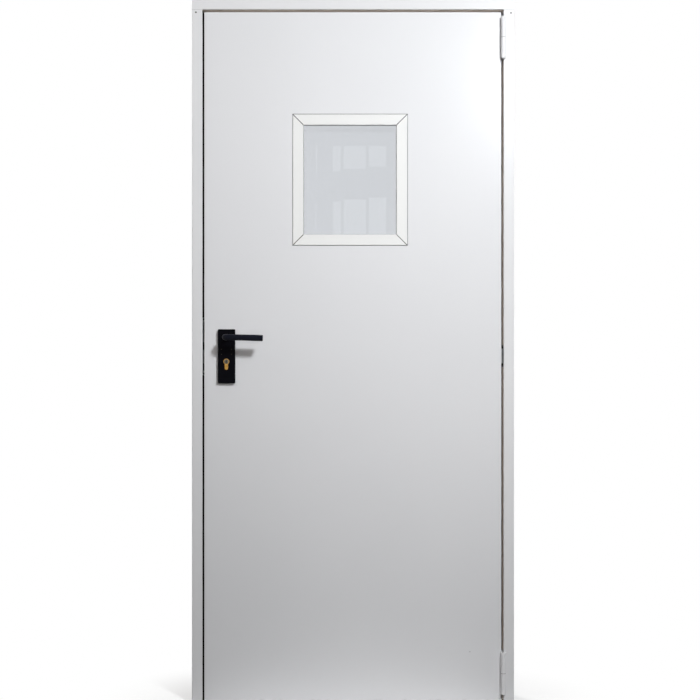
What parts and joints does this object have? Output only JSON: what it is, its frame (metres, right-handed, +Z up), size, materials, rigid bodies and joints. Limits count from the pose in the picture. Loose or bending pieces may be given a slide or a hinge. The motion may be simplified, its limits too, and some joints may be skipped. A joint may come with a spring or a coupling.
{
  "type": "steel utility door with frame",
  "caption": "Flush sheet-steel utility door in a folded steel frame, with barrel hinges, lever handles, a mortise lock and a small mitred window.",
  "frame": {"origin": "on the wall face of the hinge-side jamb, at mid depth of the frame, on the metre mark 1000 mm above the frame's foot", "axes": "+X to the hinge side along the width and out of the wall face, -Y out of the front face, +Z up"},
  "size_m": [0.96, 0.172, 2.1],
  "materials": {
    "frame_paint": "semi-gloss white powder coat",
    "leaf_paint": "semi-gloss white powder coat",
    "trim_paint": "matt white powder coat",
    "closing_seal": "matt black",
    "gap_strip": "matt brown-grey",
    "zinc_steel": "zinc plated",
    "bright_steel": "ground",
    "black_plastic": "satin black",
    "lever_coat": "satin blue-black",
    "brass": "satin",
    "core_paper": "raw",
    "clear_glass": "polished",
    "spacer_metal": "mill",
    "glazing_rubber": "grey"
  },
  "bodies": {
    "frame": {"frame_head": "frame_paint", "frame_jamb_lock_side": "frame_paint", "frame_jamb_hinge_side": "frame_paint", "frame_seal_head": "closing_seal", "frame_seal_lock_side": "closing_seal", "frame_seal_hinge_side": "closing_seal", "frame_strip_head": "gap_strip", "frame_strip_lock_side": "gap_strip", "frame_strip_hinge_side": "gap_strip", "strike_plate": "zinc_steel", "dog_bolt_keeper": "black_plastic", "hinge_frame_knuckle_top": "frame_paint", "hinge_frame_knuckle_bottom": "frame_paint", "hinge_pins": "bright_steel", "hinge_washers": "black_plastic"},
    "leaf": {"leaf_front_sheet": "leaf_paint", "leaf_rear_sheet": "leaf_paint", "leaf_core": "core_paper", "leaf_bottom_channel": "zinc_steel", "lock_faceplate": "zinc_steel", "lock_case": "zinc_steel", "latch_bolt": "bright_steel", "deadbolt": "bright_steel", "lock_cylinder": "brass", "handle_plate_front": "black_plastic", "handle_plate_rear": "black_plastic", "dog_bolt": "zinc_steel", "hinge_leaf_knuckle_top": "frame_paint", "hinge_leaf_knuckle_bottom": "frame_paint", "glass_pane_front": "clear_glass", "glass_pane_rear": "clear_glass", "glass_spacer": "spacer_metal", "glazing_seals": "glazing_rubber", "window_trim_front_top": "trim_paint", "window_trim_front_bottom": "trim_paint", "window_trim_front_left": "trim_paint", "window_trim_front_right": "trim_paint", "window_trim_rear_top": "trim_paint", "window_trim_rear_bottom": "trim_paint", "window_trim_rear_left": "trim_paint", "window_trim_rear_right": "trim_paint"},
    "lever": {"lever_front": "lever_coat", "lever_rear": "lever_coat", "lever_spindle": "bright_steel"}
  },
  "joints": [
    {"name": "leaf_swing", "type": "hinge", "parent": "frame", "child": "leaf", "pos_m": [-0.0333, -0.0536, 0], "axis": [0, 0, 1], "range_deg": [0, 170]},
    {"name": "lever_turn", "type": "hinge", "parent": "leaf", "child": "lever", "pos_m": [-0.856, -0.02, 0.092], "axis": [0, 1, 0], "range_deg": [0, 45], "stiffness_Nm_per_rad": 1, "springref_deg": -22.92}
  ]
}
